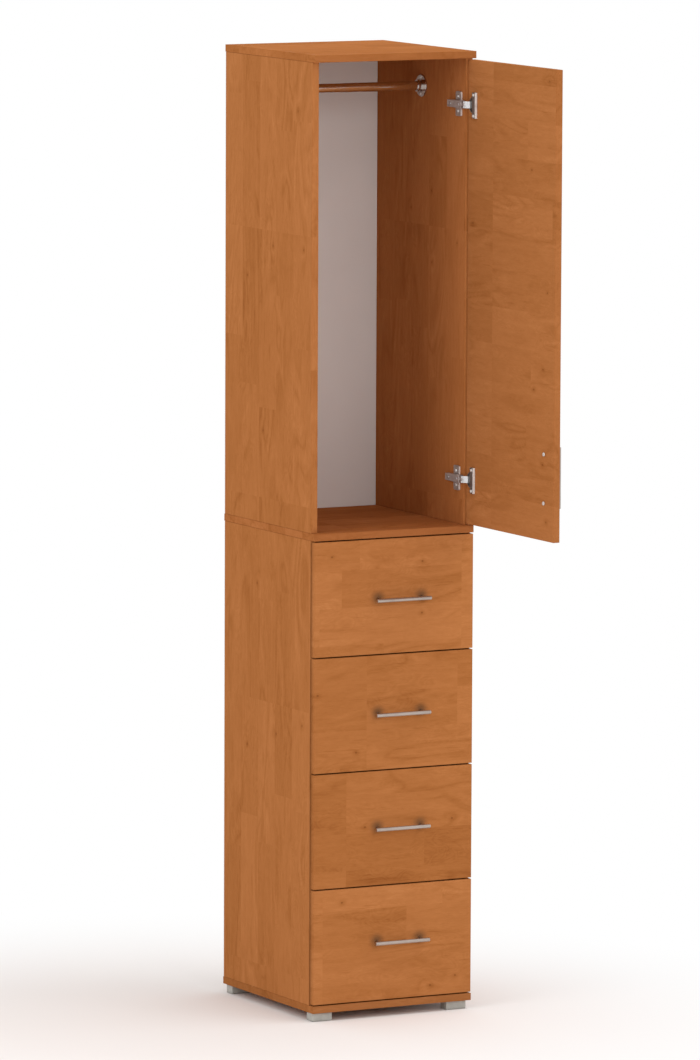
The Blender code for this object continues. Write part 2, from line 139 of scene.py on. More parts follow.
def mixColour(tree, factor, first, second, blend="MIX"):
    made = addNode(tree, "ShaderNodeMix", data_type="RGBA", blend_type=blend)
    for index, value in ((0, factor), (6, first), (7, second)):
        if isinstance(value, bpy.types.NodeSocket):
            tree.links.new(value, made.inputs[index])
        else:
            made.inputs[index].default_value = value if index == 0 else (*value, 1.0)
    return made.outputs[2]


def tint(tree, colour, tone):
    return mixColour(tree, 1.0, colour, tone, "MULTIPLY")


def objectPlace(tree):
    return addNode(tree, "ShaderNodeTexCoord").outputs["Object"]


def addBump(tree, shader, height, depth, strength):
    bump = addNode(tree, "ShaderNodeBump", {"Height": height, "Distance": depth, "Strength": strength})
    tree.links.new(bump.outputs["Normal"], shader.inputs["Normal"])


def edgeDistance(tree, place, low, high):
    # how far a point of a board's skin is from the nearest edge of that board
    centre, half = (low + high) / 2, (high - low) / 2
    fromCentre = shift(tree, place, tuple(-centre))
    absolute = vectorCalc(tree, "ABSOLUTE", fromCentre)[0]
    inside = takeApart(tree, vectorCalc(tree, "SUBTRACT", tuple(half), absolute)[0])
    lower = calc(tree, "MINIMUM", inside[0], inside[1])
    upper = calc(tree, "MAXIMUM", inside[0], inside[1])
    return calc(tree, "MAXIMUM", lower, calc(tree, "MINIMUM", upper, inside[2]))


def seenDirectly(tree):
    # 1 for what the camera sees, also as a mirror image, and 0 for light that only falls on the pieces
    path = addNode(tree, "ShaderNodeLightPath").outputs
    mirrored = calc(tree, "MAXIMUM", path["Is Camera Ray"], path["Is Glossy Ray"])
    return calc(tree, "MAXIMUM", mirrored, path["Is Transmission Ray"])


# alder laminate: joined staves with growth lines, thin dark dashes, small knots and fine fibre

alder = {
    "tones": ((0.0, (0.240, 0.074, 0.018)), (0.35, (0.350, 0.126, 0.036)),
              (0.65, (0.428, 0.163, 0.053)), (1.0, (0.540, 0.228, 0.084))),
    "middleTone": 0.5,
    "knotColour": (0.150, 0.045, 0.012),
    "seamColour": (0.23, 0.060, 0.010),
    "wornColour": (0.60, 0.30, 0.12),
    # the colour of the painted shade spots round the handle posts
    "postShadeColour": (0.120, 0.060, 0.030),
    # the colour of the painted shade in the gaps beside the drawer fronts
    "gapShadeColour": (0.040, 0.014, 0.006),
    "staveLength": 0.60,
    "splitFrom": 0.3,
    "splitSpread": 0.5,
    "staveShift": 9.0,
    "ringCount": 11.0,
    "flameCount": 10.0,
    "knotBend": 0.11,
    "knotLines": 0.6,
    "knotSize": (0.0042, 0.0030),
    # the size of those painted shade spots, along and across
    "postShadeSize": (0.024, 0.021),
    "roughness": 0.66,
    "streakRoughness": 0.10,
    "wornRoughness": 0.15,
    "specular": 0.002,
    "bumpDepth": 0.0004,
    "bumpStrength": 0.18,
}

# noises that lie in the grain: squeeze along and across it, detail, roughness, distortion
grainNoises = {
    "figure": (2.6, 11.0, 2.0, 0.5, 0.9),
    "lineAreas": (4.0, 14.0, 1.0, 0.5, 0.0),
    "flames": (10.0, 24.0, 0.0, 0.5, 2.2),
    "flameAreas": (5.0, 13.0, 1.0, 0.5, 0.0),
    "streaks": (6.0, 110.0, 3.0, 0.6, 0.3),
    "dashes": (16.0, 330.0, 2.0, 0.55, 0.0),
    "dashAreas": (7.0, 26.0, 1.0, 0.5, 0.0),
    "clouds": (9.0, 24.0, 3.0, 0.55, 0.5),
    "strokes": (42.0, 180.0, 2.0, 0.55, 0.8),
    "fibre": (70.0, 1300.0, 2.0, 0.6, 0.0),
    "pores": (95.0, 1500.0, 1.0, 0.5, 0.0),
}

# the same every way, here and for the other skins: scale, detail, roughness
chipNoise = (45.0, 3.0, 0.7)

# where each mask starts and where it is full: noise values, shares of a ring, or sizes of a knot or of a
# painted shade spot
maskRanges = {
    "growthLines": (0.45, 0.0),
    "paleBands": (0.5, 1.0),
    "lineAreas": (0.40, 0.60),
    "flameAreas": (0.46, 0.60),
    "dashes": (0.58, 0.72),
    "dashAreas": (0.42, 0.62),
    "pores": (0.60, 0.70),
    "chips": (0.60, 0.72),
    "knotCore": (1.0, 0.35),
    "knotHalo": (3.5, 0.5),
    "knotSwirl": (9.0, 0.0),
    "postShadeSpots": (1.0, 0.0),
}

# the same for what follows an edge of the board, in metres from that edge
edgeRanges = {
    "seamOuter": (0.0004, 0.0008),
    "seamInner": (0.0016, 0.0010),
    "worn": (0.0010, 0.0002),
    # the next two are painted shade beside the drawer fronts
    "gapShadeLine": (0.0020, 0.0006),
    "sideShade": (-0.013, -0.001),
}

# how deep a face reaches into its board, in metres, when a mark is kept to that face
faceDepths = {"banding": 0.0004, "sideBoard": 0.0006, "frontSide": 0.0005, "handleFace": 0.0012}

# how far each kind of mark moves the tone, and how strongly each colour covers the wood
toneShares = {"stave": 0.19, "streaks": 0.22, "clouds": 0.18, "strokes": 0.26, "fibre": 0.20}
markShares = {"lines": 0.14, "paleBands": 0.6, "flames": 0.11, "pores": 0.09, "dashes": 0.18, "knots": 0.16}
coverShares = {"knot": 0.55, "postShade": 0.78, "darkened": 0.45, "side": 0.28, "seam": 0.15, "worn": 0.35}
heightShares = {"fibre": 0.6, "streaks": 0.5, "dashes": 1.5, "pores": 0.4, "seam": 0.5}

# a distance or place that is off every board
farAway = 99.0


def spotDistance(tree, turned, spots, size):
    # distance to the nearest of some spots on the board's face, in units of the spot's own size
    nearest = farAway
    for along, across in spots:
        offset = shift(tree, turned, (-along, -across, 0.0))
        scaled = stretch(tree, offset, (1.0 / size[0], 1.0 / size[1], 0.0))
        away = vectorCalc(tree, "LENGTH", scaled)["Value"]
        nearest = calc(tree, "MINIMUM", away, nearest)
    return nearest


def alderMaterial(name, low, high, plan):
    material, tree, shader = newMaterial(name)
    place = objectPlace(tree)
    parts = takeApart(tree, place)
    along, across = plan["along"], plan["across"]
    through = ({0, 1, 2} - {along, across}).pop()
    turned = putTogether(tree, parts[along], parts[across], parts[through])
    laid = shift(tree, turned, (-plan["joint"], -plan["seam"], 0.0))
    grain = takeApart(tree, laid)

    # which stave a point is on: rows across the grain, and along it pairs of unlike length
    row = calc(tree, "FLOOR", calc(tree, "DIVIDE", grain[1], plan["width"]))
    run = calc(tree, "DIVIDE", grain[0], alder["staveLength"])
    pair = calc(tree, "FLOOR", run)
    within = calc(tree, "FRACT", run)
    chance = whiteNoise(tree, putTogether(tree, row, pair, plan["seed"] + 0.5))["Value"]
    splitAt = plus(tree, times(tree, chance, alder["splitSpread"]), alder["splitFrom"])
    second = calc(tree, "GREATER_THAN", within, splitAt)
    piece = plus(tree, times(tree, pair, 2.0), second)
    stave = whiteNoise(tree, putTogether(tree, row, piece, float(plan["seed"])))
    staveOffset = stretch(tree, stave["Color"], (alder["staveShift"],) * 3)
    ownPlace = vectorCalc(tree, "ADD", staveOffset, laid)[0]

    def grainNoise(kind):
        alongScale, acrossScale, detail, roughness, distortion = grainNoises[kind]
        squeezed = stretch(tree, ownPlace, (alongScale, acrossScale, acrossScale))
        return noise(tree, squeezed, detail, roughness, distortion)

    def masked(value, kind):
        return blendRange(tree, value, *maskRanges[kind])

    def nearEdge(value, kind, start=0.0):
        fromPlace, toPlace = edgeRanges[kind]
        return blendRange(tree, value, start + fromPlace, start + toPlace)

    def cover(base, mask, share, added):
        return mixColour(tree, times(tree, mask, coverShares[share]), base, alder[added])

    # small knots, and growth lines as contours of a long soft noise that bend round them
    knotAway = spotDistance(tree, turned, plan.get("knots", ((farAway, farAway),)), alder["knotSize"])
    knotSwirl = masked(knotAway, "knotSwirl")
    figureField = plus(tree, grainNoise("figure"), times(tree, knotSwirl, alder["knotBend"]))
    rings = calc(tree, "PINGPONG", times(tree, figureField, alder["ringCount"]), 1.0)
    growthLines = masked(rings, "growthLines")
    paleBands = masked(rings, "paleBands")
    lineMask = masked(grainNoise("lineAreas"), "lineAreas")
    lineMask = calc(tree, "MAXIMUM", lineMask, times(tree, knotSwirl, alder["knotLines"]))

    # patches of flame figure: short slanting arcs, paler and darker by turns
    flames = calc(tree, "PINGPONG", times(tree, grainNoise("flames"), alder["flameCount"]), 1.0)
    flameMask = masked(grainNoise("flameAreas"), "flameAreas")

    # short dark dashes in some places, and pores all over
    dashes = masked(grainNoise("dashes"), "dashes")
    dashMask = masked(grainNoise("dashAreas"), "dashAreas")
    pores = masked(grainNoise("pores"), "pores")

    # the tone: a stave's own, moved by long streaks, soft clouds, strokes and the fibre itself
    total = alder["middleTone"] + plan.get("lift", 0.0)
    streaks = grainNoise("streaks")
    fibre = grainNoise("fibre")
    for value, kind in ((stave["Value"], "stave"), (streaks, "streaks"), (grainNoise("clouds"), "clouds"),
                        (grainNoise("strokes"), "strokes"), (fibre, "fibre")):
        total = plus(tree, times(tree, minus(tree, value, 0.5), toneShares[kind]), total)
    figure = minus(tree, times(tree, paleBands, markShares["paleBands"]), growthLines)
    total = plus(tree, total, times(tree, times(tree, figure, lineMask), markShares["lines"]))
    flameTone = times(tree, minus(tree, flames, 0.5), markShares["flames"])
    total = plus(tree, total, times(tree, flameTone, flameMask))
    total = minus(tree, total, times(tree, pores, markShares["pores"]))
    dashTone = times(tree, times(tree, dashes, dashMask), markShares["dashes"])
    total = minus(tree, total, dashTone)
    total = minus(tree, total, times(tree, masked(knotAway, "knotHalo"), markShares["knots"]))
    colour = ramp(tree, total, alder["tones"])
    colour = cover(colour, masked(knotAway, "knotCore"), "knot", "knotColour")

    # painted shade round the posts of a handle, on the outer face only: soft dark spots a little above each
    # post stand in for the shadow there
    if "postShadeSpots" in plan:
        postShadeAway = spotDistance(tree, turned, plan["postShadeSpots"], alder["postShadeSize"])
        outer = calc(tree, "LESS_THAN", parts[through], low[through] + faceDepths["handleFace"])
        colour = cover(colour, times(tree, masked(postShadeAway, "postShadeSpots"), outer), "postShade", "postShadeColour")

    # painted light: some boards are tinted warmer, standing in for the light that falls on the top and
    # inside the bay
    if "tone" in plan:
        colour = tint(tree, colour, plan["tone"])

    # the banding on a board's front edge has its own tone, but the lighter band of upper_side_right is
    # painted light on its edge beside the door; the panels' ends on the cabinet's outer sides are painted
    # darker, most near the floor: painted shade
    sideways = calc(tree, "ABSOLUTE", parts[0])
    for key, test, value, limit in (
            ("bandTone", "LESS_THAN", parts[1], low.y + faceDepths["banding"]),
            ("endShade", "GREATER_THAN", sideways, cabinetHalf - faceDepths["banding"])):
        if key in plan:
            colour = mixColour(tree, calc(tree, test, value, limit), colour, tint(tree, colour, plan[key]))

    # painted shade on the outer face of a side board, in a line where it meets the backs of the drawer
    # fronts
    if "gapShadeLine" in plan:
        outside = calc(tree, "GREATER_THAN", sideways, cabinetHalf - faceDepths["sideBoard"])
        darkened = times(tree, nearEdge(parts[1], "gapShadeLine", low.y), outside)
        colour = cover(colour, darkened, "darkened", "gapShadeColour")

    # painted shade: the side edge of a drawer front is painted darker towards the gap behind it
    if "sideShade" in plan:
        outside = calc(tree, "GREATER_THAN", sideways, high.x - faceDepths["frontSide"])
        shaded = times(tree, nearEdge(parts[1], "sideShade", high.y), outside)
        colour = cover(colour, shaded, "side", "gapShadeColour")

    # edge banding: a hairline seam beside each edge, and light wear on the edge itself
    edge = edgeDistance(tree, place, low, high)
    seam = times(tree, nearEdge(edge, "seamOuter"), nearEdge(edge, "seamInner"))
    colour = cover(colour, seam, "seam", "seamColour")
    chips = masked(evenNoise(tree, place, *chipNoise), "chips")
    worn = times(tree, chips, nearEdge(edge, "worn"))
    colour = cover(colour, worn, "worn", "wornColour")
    tree.links.new(colour, shader.inputs["Base Color"])

    streakRoughness = alder["streakRoughness"]
    rough = plus(tree, times(tree, streaks, streakRoughness), alder["roughness"] - streakRoughness / 2)
    rough = plus(tree, rough, times(tree, worn, alder["wornRoughness"]))
    tree.links.new(rough, shader.inputs["Roughness"])
    shader.inputs["Specular IOR Level"].default_value = alder["specular"]
    height = plus(tree, times(tree, fibre, heightShares["fibre"]),
                  times(tree, streaks, heightShares["streaks"]))
    for value, kind in ((dashTone, "dashes"), (pores, "pores"), (seam, "seam")):
        height = minus(tree, height, times(tree, value, heightShares[kind]))
    addBump(tree, shader, height, alder["bumpDepth"], alder["bumpStrength"])
    return material


# along, across: which axis the staves run on and are counted on. width: of a stave.
# seam, joint: where one seam and one joint lie. seed: picks the figure. lift: paler above 0, darker below.
# knots: the visible ones, as places along and across, measured on the boards that the front view shows.
# tone, bandTone, endShade: factors on the colour of the whole board, its front edge, its outer ends; tone is
# painted light, endShade painted shade, and the lighter bandTone of upper_side_right painted light.
# gapShadeLine, sideShade: the boards that have that painted shade line beside the drawer fronts, or painted
# shade on a front's side edge.
darkBand = (0.82, 0.82, 0.86)
uprightStaves = {"along": 2, "across": 1, "width": 0.082, "seam": 0.2137}
levelStaves = {"along": 0, "across": 2, "width": 0.0834}
doorStaves = {"along": 1, "across": 2, "width": 0.0834}
panelStaves = {"along": 0, "across": 1, "width": 0.082, "bandTone": darkBand}
boxStaves = {"along": 1, "across": 2, "width": 0.082}
frontStaves = {**levelStaves, "sideShade": True}
boardPlans = {
    "upper_side_left": {
        **uprightStaves, "joint": 1.749, "seed": 3,
        "knots": ((2.022, -0.134), (1.641, 0.108), (1.718, -0.164), (1.716, -0.016), (1.30, 0.03))},
    "upper_side_right": {
        # painted light: lift and tone make this side paler and warmer inside the bay, and its lighter
        # front-edge band stands in for light on the edge beside the door
        **uprightStaves, "joint": 1.749, "seed": 8, "lift": 0.05,
        "tone": (1.05, 1.0, 0.97), "bandTone": (1.12, 1.14, 1.13),
        "knots": ((1.828, -0.043), (1.784, 0.053), (1.720, -0.164), (1.668, -0.047))},
    "lower_side_left": {
        **uprightStaves, "joint": 0.692, "seed": 5, "gapShadeLine": True,
        "knots": ((0.584, 0.104), (0.659, -0.163), (0.625, -0.038), (0.954, 0.057))},
    "lower_side_right": {
        **uprightStaves, "joint": 0.692, "seed": 9, "gapShadeLine": True,
        "knots": ((0.41, 0.02), (0.88, -0.11))},
    "top_panel": {
        **panelStaves, "seam": -0.175, "joint": 0.05, "seed": 12,
        # painted light and shade: the top's tone tints it warmer as lit from above, and its ends are painted
        # darker
        "tone": (1.05, 1.0, 0.93), "endShade": (0.93, 0.94, 0.98),
        "knots": ((-0.06, 0.09),)},
    "middle_panel": {
        # painted light and shade: lift and tone make the middle panel paler and warmer inside the bay, and
        # its ends are painted darker
        **panelStaves, "seam": -0.160, "joint": -0.08, "seed": 14, "lift": 0.03,
        "tone": (1.06, 0.98, 0.94), "endShade": (0.88, 0.90, 0.92),
        "knots": ((0.07, 0.02),)},
    "bottom_panel": {
        **panelStaves, "seam": -0.190, "joint": 0.11, "seed": 16,
        # painted shade: the bottom panel's ends are painted darkest, near the floor
        "endShade": (0.84, 0.82, 0.80)},
    "door_panel": {
        **doorStaves, "seam": 2.0935, "joint": -0.325, "seed": 21, "lift": 0.02,
        "bandTone": (0.88, 0.86, 0.86),
        "knots": ((-0.501, 1.906), (-0.578, 2.104), (-0.575, 1.642), (-0.516, 1.425), (-0.557, 1.4725),
                  (-0.5745, 1.138), (-0.558, 1.263), (-0.234, 1.770))},
    "drawer_1_front": {
        **frontStaves, "seam": 1.008, "joint": 0.170, "seed": 31, "lift": 0.06,
        "knots": ((-0.156, 1.040), (0.070, 0.904), (0.071, 1.0196))},
    "drawer_2_front": {
        **frontStaves, "seam": 0.733, "joint": -0.068, "seed": 33, "lift": -0.05,
        "knots": ((-0.094, 0.600), (-0.191, 0.733))},
    "drawer_3_front": {
        **frontStaves, "seam": 0.502, "joint": -0.118, "seed": 35, "lift": -0.10,
        "knots": ((-0.071, 0.431), (0.149, 0.4365))},
    "drawer_4_front": {
        **frontStaves, "seam": 0.246, "joint": -0.176, "seed": 37, "lift": 0.05,
        "knots": ((0.0956, 0.0623), (0.159, 0.080), (-0.128, 0.265))},
}

# the boards inside the drawers: their seam and joint move on by a step from one drawer to the next
boxPlans = {
    "side_left": {**boxStaves, "seamStep": 0.05, "jointStep": 0.03, "firstSeed": 40},
    "side_right": {**boxStaves, "seamStep": 0.04, "jointStep": -0.05, "firstSeed": 50},
    "back": {**levelStaves, "seamStep": 0.03, "jointStep": 0.04, "firstSeed": 60},
}
# the handle posts stand at centreX and reach out to each side; the painted shade spots round them sit a
# little higher than the posts
handlePlan = {
    "centreX": 0.014, "reach": 0.054, "postShadeRise": 0.0045,
    "heights": (0.93925, 0.68275, 0.42625, 0.16975),
}
for number, height in zip(drawerNumbers, handlePlan["heights"]):
    # painted shade spots round the two posts of each drawer's handle
    boardPlans[f"drawer_{number}_front"]["postShadeSpots"] = [
        (handlePlan["centreX"] + sign * handlePlan["reach"], height + handlePlan["postShadeRise"])
        for sign in (-1, 1)]
    for board, boxPlan in boxPlans.items():
        boardPlans[f"drawer_{number}_{board}"] = {
            **boxPlan, "seam": boxPlan["seamStep"] * number, "joint": boxPlan["jointStep"] * number,
            "seed": boxPlan["firstSeed"] + number}


def dress(nodeName, material):
    target = nodes[nodeName]
    target.data.materials.clear()
    target.data.materials.append(material)


for nodeName, plan in boardPlans.items():
    boardLow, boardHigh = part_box(nodeName)
    dress(nodeName, alderMaterial("alder_" + nodeName, boardLow, boardHigh, plan))
print("alder boards dressed,", len(boardPlans))


# white hardboard of the backs and drawer bottoms

hardboard = {
    # its off-white is tinted pink: partly the board's own colour, partly painted warm bounce from the wood
    # around it
    "colour": (0.785, 0.742, 0.715), "shade": (0.735, 0.693, 0.667), "rub": (0.64, 0.59, 0.56),
    "clouds": (3.0, 3.0, 0.55), "cloudRange": (0.3, 0.75),
    "pebbles": (900.0, 2.0, 0.6), "bumpDepth": 0.0002, "bumpStrength": 0.15,
    "scuffScale": (22.0, 22.0, 9.0), "scuffDetail": 4.0, "scuffRoughness": 0.7, "scuffRange": (0.66, 0.80),
    "rubWidth": 0.004, "rubShare": 0.5, "scuffShare": 0.12,
    "roughness": 0.52, "scuffedRoughness": 0.15, "specular": 0.3,
}


def hardboardMaterial(name, low, high):
    material, tree, shader = newMaterial(name)
    place = objectPlace(tree)
    clouds = evenNoise(tree, place, *hardboard["clouds"])
    pebbles = evenNoise(tree, place, *hardboard["pebbles"])
    scuffNoise = noise(tree, stretch(tree, place, hardboard["scuffScale"]), hardboard["scuffDetail"],
                       hardboard["scuffRoughness"])
    scuffs = blendRange(tree, scuffNoise, *hardboard["scuffRange"])
    cloudMask = blendRange(tree, clouds, *hardboard["cloudRange"])
    colour = mixColour(tree, cloudMask, hardboard["colour"], hardboard["shade"])
    edge = edgeDistance(tree, place, low, high)
    rubbed = times(tree, blendRange(tree, edge, hardboard["rubWidth"], 0.0), hardboard["rubShare"])
    used = plus(tree, rubbed, times(tree, scuffs, hardboard["scuffShare"]))
    tree.links.new(mixColour(tree, used, colour, hardboard["rub"]), shader.inputs["Base Color"])
    rough = plus(tree, times(tree, scuffs, hardboard["scuffedRoughness"]), hardboard["roughness"])
    tree.links.new(rough, shader.inputs["Roughness"])
    shader.inputs["Specular IOR Level"].default_value = hardboard["specular"]
    addBump(tree, shader, pebbles, hardboard["bumpDepth"], hardboard["bumpStrength"])
    return material


for nodeName in ["upper_back", "lower_back"] + [f"drawer_{number}_bottom" for number in drawerNumbers]:
    dress(nodeName, hardboardMaterial("white_" + nodeName, *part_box(nodeName)))


# metals: brushAxis is the axis that the brush lines run along, smear how much they vary the roughness

nickelTones = {
    "colour": (0.50, 0.43, 0.385), "dull": (0.40, 0.335, 0.30), "roughness": 0.36, "smear": 0.16,
    "bump": 0.08, "metallic": 1.0,
}
metals = {
    "polishedChrome": {
        "colour": (0.78, 0.77, 0.76), "dull": (0.62, 0.60, 0.58), "roughness": 0.16, "smear": 0.06,
        "bump": 0.03, "metallic": 1.0, "brushAxis": 0},
    "zincScrewSteel": {
        "colour": (0.86, 0.85, 0.83), "dull": (0.66, 0.65, 0.63), "roughness": 0.24, "smear": 0.12,
        "bump": 0.05, "metallic": 0.45},
    "socketChrome": {
        "colour": (0.60, 0.55, 0.52), "dull": (0.42, 0.38, 0.35), "roughness": 0.20, "smear": 0.08,
        "bump": 0.03, "metallic": 1.0},
    "adjusterSteel": {
        "colour": (0.60, 0.55, 0.54), "dull": (0.42, 0.38, 0.36), "roughness": 0.30, "smear": 0.12,
        "bump": 0.05, "metallic": 0.85},
    "satinNickelBar": {**nickelTones, "brushAxis": 0},
    "satinNickelUpright": {**nickelTones, "brushAxis": 2},
}
metalSkin = {
    "brushScale": 420.0, "alongBrush": 12.0, "brushDetail": 3.0, "brushRoughness": 0.6,
    "tarnish": (35.0, 4.0, 0.6), "tarnishRange": (0.38, 0.72), "tarnishShare": 0.55,
    "tarnishRoughness": 0.05, "bumpDepth": 0.0001,
}


def metalMaterial(name, metal):
    material, tree, shader = newMaterial(name)
    place = objectPlace(tree)
    factors = [metalSkin["brushScale"]] * 3
    if "brushAxis" in metal:
        factors[metal["brushAxis"]] = metalSkin["alongBrush"]
    brush = noise(tree, stretch(tree, place, tuple(factors)), metalSkin["brushDetail"],
                  metalSkin["brushRoughness"])
    tarnish = blendRange(tree, evenNoise(tree, place, *metalSkin["tarnish"]), *metalSkin["tarnishRange"])
    colour = mixColour(tree, times(tree, tarnish, metalSkin["tarnishShare"]), metal["colour"], metal["dull"])
    tree.links.new(colour, shader.inputs["Base Color"])
    shader.inputs["Metallic"].default_value = metal["metallic"]
    rough = plus(tree, times(tree, brush, metal["smear"]), metal["roughness"] - metal["smear"] / 2)
    rough = plus(tree, rough, times(tree, tarnish, metalSkin["tarnishRoughness"]))
    tree.links.new(rough, shader.inputs["Roughness"])
    addBump(tree, shader, brush, metalSkin["bumpDepth"], metal["bump"])
    return material


metalLooks = {name: metalMaterial(name, metal) for name, metal in metals.items()}

# nickelled sheet steel of the hinges: a greyer skin, with a painted highlight on the cut front edges,
# painted bright and less metallic as if lit from the front; the link's skin is painted paler where it faces
# the light, the cup's is darker
steelTones = {
    "plate": {"edge": (0.80, 0.77, 0.75), "skin": (0.50, 0.44, 0.41), "metallic": 0.80},
    "arm": {"edge": (0.74, 0.73, 0.72), "skin": (0.58, 0.52, 0.50), "metallic": 0.80},
    "link": {"edge": (0.74, 0.75, 0.76), "skin": (0.74, 0.75, 0.76), "metallic": 0.35},
    "cup": {"edge": (0.84, 0.83, 0.82), "skin": (0.34, 0.29, 0.26), "metallic": 0.90},
}
steelSkin = {
    "brushScale": (420.0, 420.0, 14.0), "brushDetail": 3.0, "brushRoughness": 0.6,
    "tarnish": (90.0, 4.0, 0.6), "tarnishRange": (0.45, 0.75), "tarnishShare": 0.35,
    "tarnishColour": (0.30, 0.26, 0.23), "edgeWidth": (0.0003, 0.0009), "edgeMetallic": 0.15,
    "roughness": 0.26, "smear": 0.16, "bumpDepth": 0.0001, "bumpStrength": 0.08,
}


def stampedSteel(name, tones, low):
    material, tree, shader = newMaterial(name)
    place = objectPlace(tree)
    depth = takeApart(tree, place)[1]
    brush = noise(tree, stretch(tree, place, steelSkin["brushScale"]), steelSkin["brushDetail"],
                  steelSkin["brushRoughness"])
    tarnish = blendRange(tree, evenNoise(tree, place, *steelSkin["tarnish"]), *steelSkin["tarnishRange"])
    # painted highlight: the first fraction of a millimetre behind the front takes the bright edge colour and
    # less metallic sheen, standing in for the light on the front faces
    edgeStart, edgeEnd = steelSkin["edgeWidth"]
    skin = blendRange(tree, depth, low.y + edgeStart, low.y + edgeEnd)
    colour = mixColour(tree, skin, tones["edge"], tones["skin"])
    stained = times(tree, tarnish, steelSkin["tarnishShare"])
    colour = mixColour(tree, stained, colour, steelSkin["tarnishColour"])
    tree.links.new(colour, shader.inputs["Base Color"])
    metal = blendRange(tree, skin, 0.0, 1.0, steelSkin["edgeMetallic"], tones["metallic"])
    tree.links.new(metal, shader.inputs["Metallic"])
    rough = plus(tree, times(tree, brush, steelSkin["smear"]), steelSkin["roughness"])
    tree.links.new(rough, shader.inputs["Roughness"])
    addBump(tree, shader, brush, steelSkin["bumpDepth"], steelSkin["bumpStrength"])
    return material


# plastics of the feet and of the strips that the drawers run on

plastics = {
    "foot": {"colour": (0.410, 0.400, 0.365), "shade": (0.338, 0.328, 0.297), "rub": (0.22, 0.21, 0.19)},
    "runner": {"colour": (0.72, 0.71, 0.69), "shade": (0.62, 0.61, 0.59), "rub": (0.40, 0.39, 0.37)},
}
plasticSkin = {
    "clouds": (60.0, 3.0, 0.55), "cloudRange": (0.3, 0.7), "scuffRange": (0.45, 0.65), "scuffShare": 0.5,
    "scuffWidth": 0.0012, "baseDarkHeight": 0.006, "baseDarkShare": 0.55, "roughness": 0.36, "smear": 0.15,
    "grain": (1600.0, 2.0, 0.6), "bumpDepth": 0.0002, "bumpStrength": 0.12,
}


def plasticMaterial(name, tones, low, high):
    material, tree, shader = newMaterial(name)
    place = objectPlace(tree)
    clouds = evenNoise(tree, place, *plasticSkin["clouds"])
    fineGrain = evenNoise(tree, place, *plasticSkin["grain"])
    cloudMask = blendRange(tree, clouds, *plasticSkin["cloudRange"])
    colour = mixColour(tree, cloudMask, tones["colour"], tones["shade"])
    edge = edgeDistance(tree, place, low, high)
    height = takeApart(tree, place)[2]
    # each piece is darker towards its base, over its lowest few millimetres
    nearBase = blendRange(tree, height, low.z + plasticSkin["baseDarkHeight"], low.z)
    darkened = times(tree, nearBase, plasticSkin["baseDarkShare"])
    scuffs = blendRange(tree, clouds, *plasticSkin["scuffRange"], 0.0, plasticSkin["scuffShare"])
    scuffed = times(tree, blendRange(tree, edge, plasticSkin["scuffWidth"], 0.0), scuffs)
    colour = mixColour(tree, calc(tree, "MAXIMUM", darkened, scuffed), colour, tones["rub"])
    tree.links.new(colour, shader.inputs["Base Color"])
    rough = plus(tree, times(tree, clouds, plasticSkin["smear"]), plasticSkin["roughness"])
    tree.links.new(rough, shader.inputs["Roughness"])
    addBump(tree, shader, fineGrain, plasticSkin["bumpDepth"], plasticSkin["bumpStrength"])
    return material


for nodeName in ("foot_front_left", "foot_front_right", "foot_back_left", "foot_back_right"):
    dress(nodeName, plasticMaterial("silverGrey_" + nodeName, plastics["foot"], *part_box(nodeName)))
for number in drawerNumbers:
    for side in ("left", "right"):
        nodeName = f"runner_{number}_{side}"
        dress(nodeName, plasticMaterial("white_" + nodeName, plastics["runner"], *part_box(nodeName)))
    dress(f"drawer_{number}_handle", metalLooks["satinNickelBar"])
dress("door_handle", metalLooks["satinNickelUpright"])
dress("hanging_rod", metalLooks["polishedChrome"])
for side in ("left", "right"):
    dress(f"rod_socket_{side}", metalLooks["socketChrome"])
for level in ("upper", "lower"):
    for kind, tones in steelTones.items():
        nodeName = f"hinge_{kind}_{level}"
        dress(nodeName, stampedSteel("nickelled_" + nodeName, tones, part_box(nodeName)[0]))
    dress(f"door_handle_screw_{level}", metalLooks["zincScrewSteel"])
print("metals and plastics dressed")


# screws: a low domed head standing on z = 0, with a cross recess cut by a small cutter

screwShape = {
    "sides": 32, "rimShare": 0.4, "smoothAngle": math.radians(40),
    "domeSteps": ((0.30, 0.93), (0.20, 0.80), (0.10, 0.62)),
}


